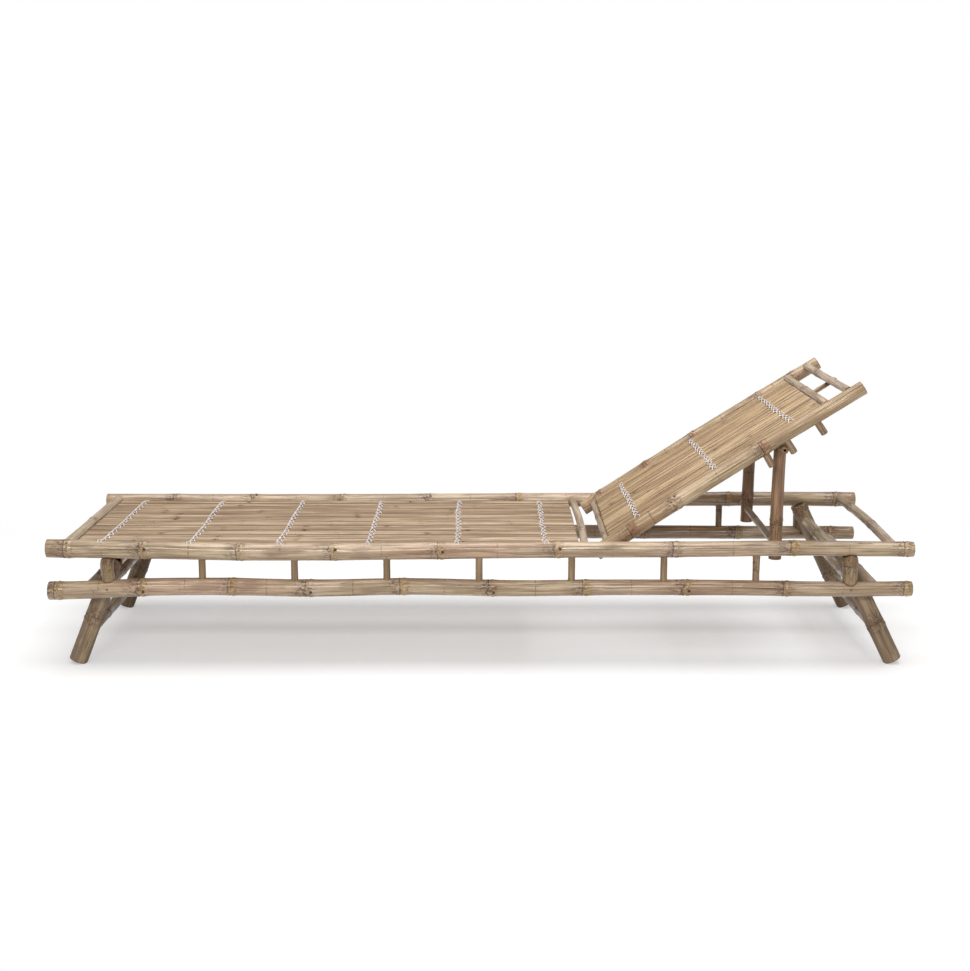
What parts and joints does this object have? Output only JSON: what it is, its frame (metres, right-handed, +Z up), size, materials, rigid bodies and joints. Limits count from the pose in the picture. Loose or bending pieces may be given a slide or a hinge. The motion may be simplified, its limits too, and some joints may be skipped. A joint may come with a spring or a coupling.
{
  "type": "bamboo folding recliner",
  "caption": "Low bamboo sun recliner with a lashed slat deck, a slatted backrest on a swinging prop stand with peg notches, and folding leg frames.",
  "frame": {"origin": "on the floor, under the middle of the recliner's length and width", "axes": "+X along the recliner towards the head end, +Y across it, +Z up"},
  "size_m": [2, 0.654, 0.6691],
  "materials": {
    "side_poles": "satin",
    "backrest_poles": "satin",
    "leg_poles": "satin",
    "prop_poles": "satin",
    "cross_bars": "satin",
    "split_boards": "matte",
    "pegs": "matte",
    "lashing_cord": "matte"
  },
  "bodies": {
    "frame": {"deck_battens": "cross_bars", "deck_board_1": "split_boards", "deck_board_2": "split_boards", "deck_board_3": "split_boards", "deck_board_4": "split_boards", "deck_board_5": "split_boards", "deck_board_6": "split_boards", "deck_board_7": "split_boards", "deck_board_8": "split_boards", "deck_board_9": "split_boards", "deck_end_bar": "cross_bars", "deck_lashings": "lashing_cord", "foot_end_bar": "cross_bars", "foot_post_back": "side_poles", "foot_post_front": "side_poles", "foot_stop_bar": "cross_bars", "head_end_bar": "cross_bars", "head_post_back": "side_poles", "head_post_front": "side_poles", "head_stop_bar": "cross_bars", "lower_rail_back": "side_poles", "lower_rail_front": "side_poles", "post_pins": "pegs", "spindles_back": "side_poles", "spindles_front": "side_poles", "top_rail_back": "side_poles", "top_rail_front": "side_poles"},
    "backrest": {"back_axle_bar": "cross_bars", "back_battens": "cross_bars", "back_board_1": "split_boards", "back_board_2": "split_boards", "back_board_3": "split_boards", "back_board_4": "split_boards", "back_board_5": "split_boards", "back_board_6": "split_boards", "back_board_7": "split_boards", "back_board_8": "split_boards", "back_board_9": "split_boards", "back_lashings": "lashing_cord", "back_pegs": "pegs", "back_rail_back": "backrest_poles", "back_rail_front": "backrest_poles", "back_second_bar": "cross_bars", "back_spine": "split_boards", "back_spine_pins": "pegs", "back_top_bar": "cross_bars"},
    "prop": {"prop_axle_bar": "cross_bars", "prop_pole_back": "prop_poles", "prop_pole_front": "prop_poles", "prop_rod": "cross_bars"},
    "foot_legs": {"foot_leg_axle_bar": "cross_bars", "foot_leg_back": "leg_poles", "foot_leg_front": "leg_poles", "foot_leg_lower_bar": "cross_bars", "foot_leg_middle_bar": "cross_bars"},
    "head_legs": {"head_leg_axle_bar": "cross_bars", "head_leg_back": "leg_poles", "head_leg_front": "leg_poles", "head_leg_lower_bar": "cross_bars", "head_leg_middle_bar": "cross_bars"}
  },
  "joints": [
    {"name": "backrest_hinge", "type": "hinge", "parent": "frame", "child": "backrest", "pos_m": [0.299, 0, 0.2845], "axis": [0, -1, 0], "range_deg": [0, 75]},
    {"name": "prop_hinge", "type": "hinge", "parent": "frame", "child": "prop", "pos_m": [0.698, 0, 0.277], "axis": [0, -1, 0], "range_deg": [0, 93.75]},
    {"name": "foot_legs_fold", "type": "hinge", "parent": "frame", "child": "foot_legs", "pos_m": [-0.861, 0, 0.236], "axis": [0, -1, 0], "range_deg": [0, 108]},
    {"name": "head_legs_fold", "type": "hinge", "parent": "frame", "child": "head_legs", "pos_m": [0.862, 0, 0.236], "axis": [0, 1, 0], "range_deg": [0, 104]}
  ],
  "couplings": [
    {"joint": "prop_hinge", "follows": "backrest_hinge", "ratio": 1.25}
  ]
}
